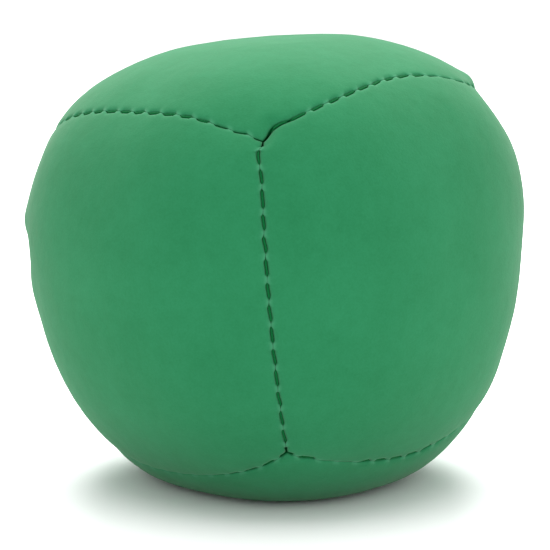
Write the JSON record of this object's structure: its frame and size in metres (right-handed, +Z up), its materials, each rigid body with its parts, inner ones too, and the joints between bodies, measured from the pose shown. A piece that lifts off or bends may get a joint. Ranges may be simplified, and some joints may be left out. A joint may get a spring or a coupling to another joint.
{
  "type": "juggling ball",
  "caption": "Beanbag juggling ball sewn from square suede panels with stitched seams, packed with grain, sitting on its flattened underside.",
  "frame": {"origin": "middle of the ball's box, on the floor plane under its flattened base", "axes": "+Z up from the floor through the top panel; -Y towards the upright front seam; +X to the right of someone facing that seam"},
  "size_m": [0.066, 0.066, 0.0586],
  "materials": {
    "suede": "brushed green microfibre suede, matte with a soft pale sheen at grazing angles",
    "seam_thread": "dark green spun polyester sewing thread, lockstitched by machine",
    "closing_thread": "dark green polyester thread, hand stitched and knotted",
    "millet": "dry golden millet grain, hidden inside the bag"
  },
  "bodies": {
    "root": {"panel_top": "suede", "panel_bottom": "suede", "panel_front_left": "suede", "panel_front_right": "suede", "panel_back_left": "suede", "panel_back_right": "suede", "seam_thread_front": "seam_thread", "seam_thread_right": "seam_thread", "seam_thread_back": "seam_thread", "seam_thread_left": "seam_thread", "seam_thread_top_front_left": "seam_thread", "seam_thread_top_front_right": "seam_thread", "seam_thread_top_back_right": "seam_thread", "seam_thread_top_back_left": "seam_thread", "seam_thread_bottom_front_left": "seam_thread", "seam_thread_bottom_front_right": "seam_thread", "seam_thread_bottom_back_right": "seam_thread", "seam_thread_bottom_back_left": "seam_thread", "closing_stitch": "closing_thread", "closing_knot": "closing_thread", "seed_filling": "millet"}
  },
  "joints": []
}
